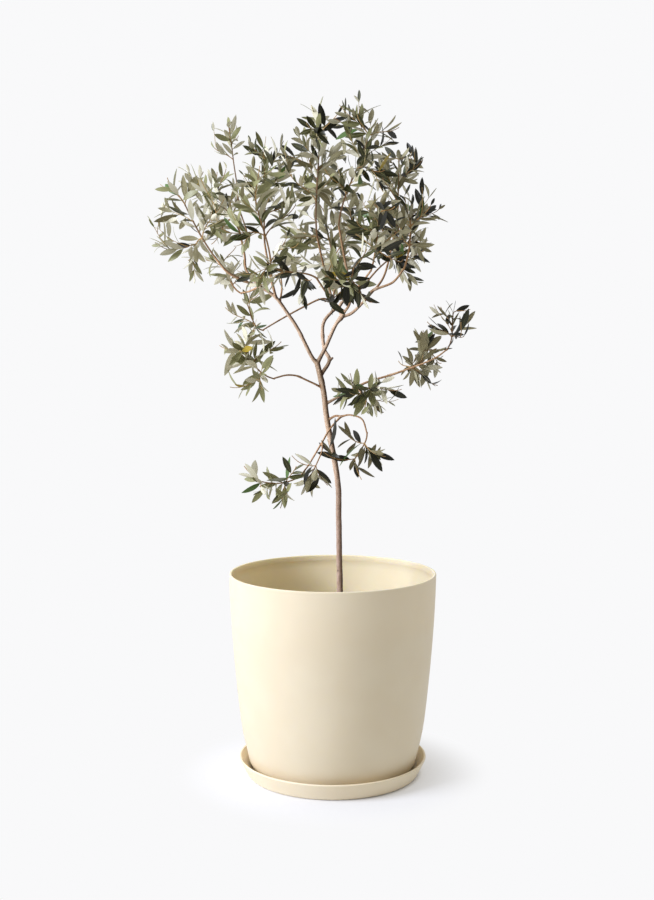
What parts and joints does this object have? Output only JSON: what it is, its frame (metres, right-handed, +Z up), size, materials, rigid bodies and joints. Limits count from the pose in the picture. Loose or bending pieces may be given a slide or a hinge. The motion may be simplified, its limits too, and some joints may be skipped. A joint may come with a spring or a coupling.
{
  "type": "potted olive tree",
  "caption": "Young olive tree with a slim forked trunk and an open crown of narrow grey-green leaves, in a round cream planter on a saucer.",
  "frame": {"origin": "centre of the saucer's flat underside", "axes": "+Z up along the planter's axis, +X to the right and +Y away from the side that the picture shows"},
  "size_m": [0.5689, 0.5363, 1.2333],
  "materials": {
    "planter": "smooth matt cream",
    "soil": "loose dark potting mix",
    "bark": "smooth grey-tan young bark with small knots",
    "foliage": "satin leaves, green above and silvery below"
  },
  "bodies": {
    "root": {"saucer": "planter", "pot": "planter", "soil": "soil", "trunk": "bark", "left_bough": "bark", "left_wing_bough": "bark", "left_upper_bough": "bark", "left_tip_bough": "bark", "left_lower_bough": "bark", "left_back_bough": "bark", "left_front_bough": "bark", "left_inner_bough": "bark", "right_bough": "bark", "right_outer_bough": "bark", "right_upper_bough": "bark", "centre_bough": "bark", "right_front_bough": "bark", "front_bough": "bark", "front_left_bough": "bark", "rear_bough": "bark", "upright_bough": "bark", "back_bough": "bark", "back_right_bough": "bark", "crossing_branch": "bark", "left_side_branch": "bark", "right_side_branch": "bark", "right_wing_branch": "bark", "right_inner_branch": "bark", "low_branch": "bark", "low_left_branch": "bark", "low_front_branch": "bark", "low_right_branch": "bark", "left_wing": "foliage", "left_upper": "foliage", "left_tip": "foliage", "left_lower": "foliage", "left_front": "foliage", "left_back": "foliage", "left_inner": "foliage", "centre_top": "foliage", "right_top": "foliage", "centre_front": "foliage", "right_outer": "foliage", "right_upper": "foliage", "front_low": "foliage", "right_front": "foliage", "back": "foliage", "back_right": "foliage", "left_cross": "foliage", "left_middle": "foliage", "right_middle": "foliage", "right_wing": "foliage", "right_inner": "foliage", "low_left": "foliage", "low_front": "foliage", "low_right": "foliage"}
  },
  "joints": []
}
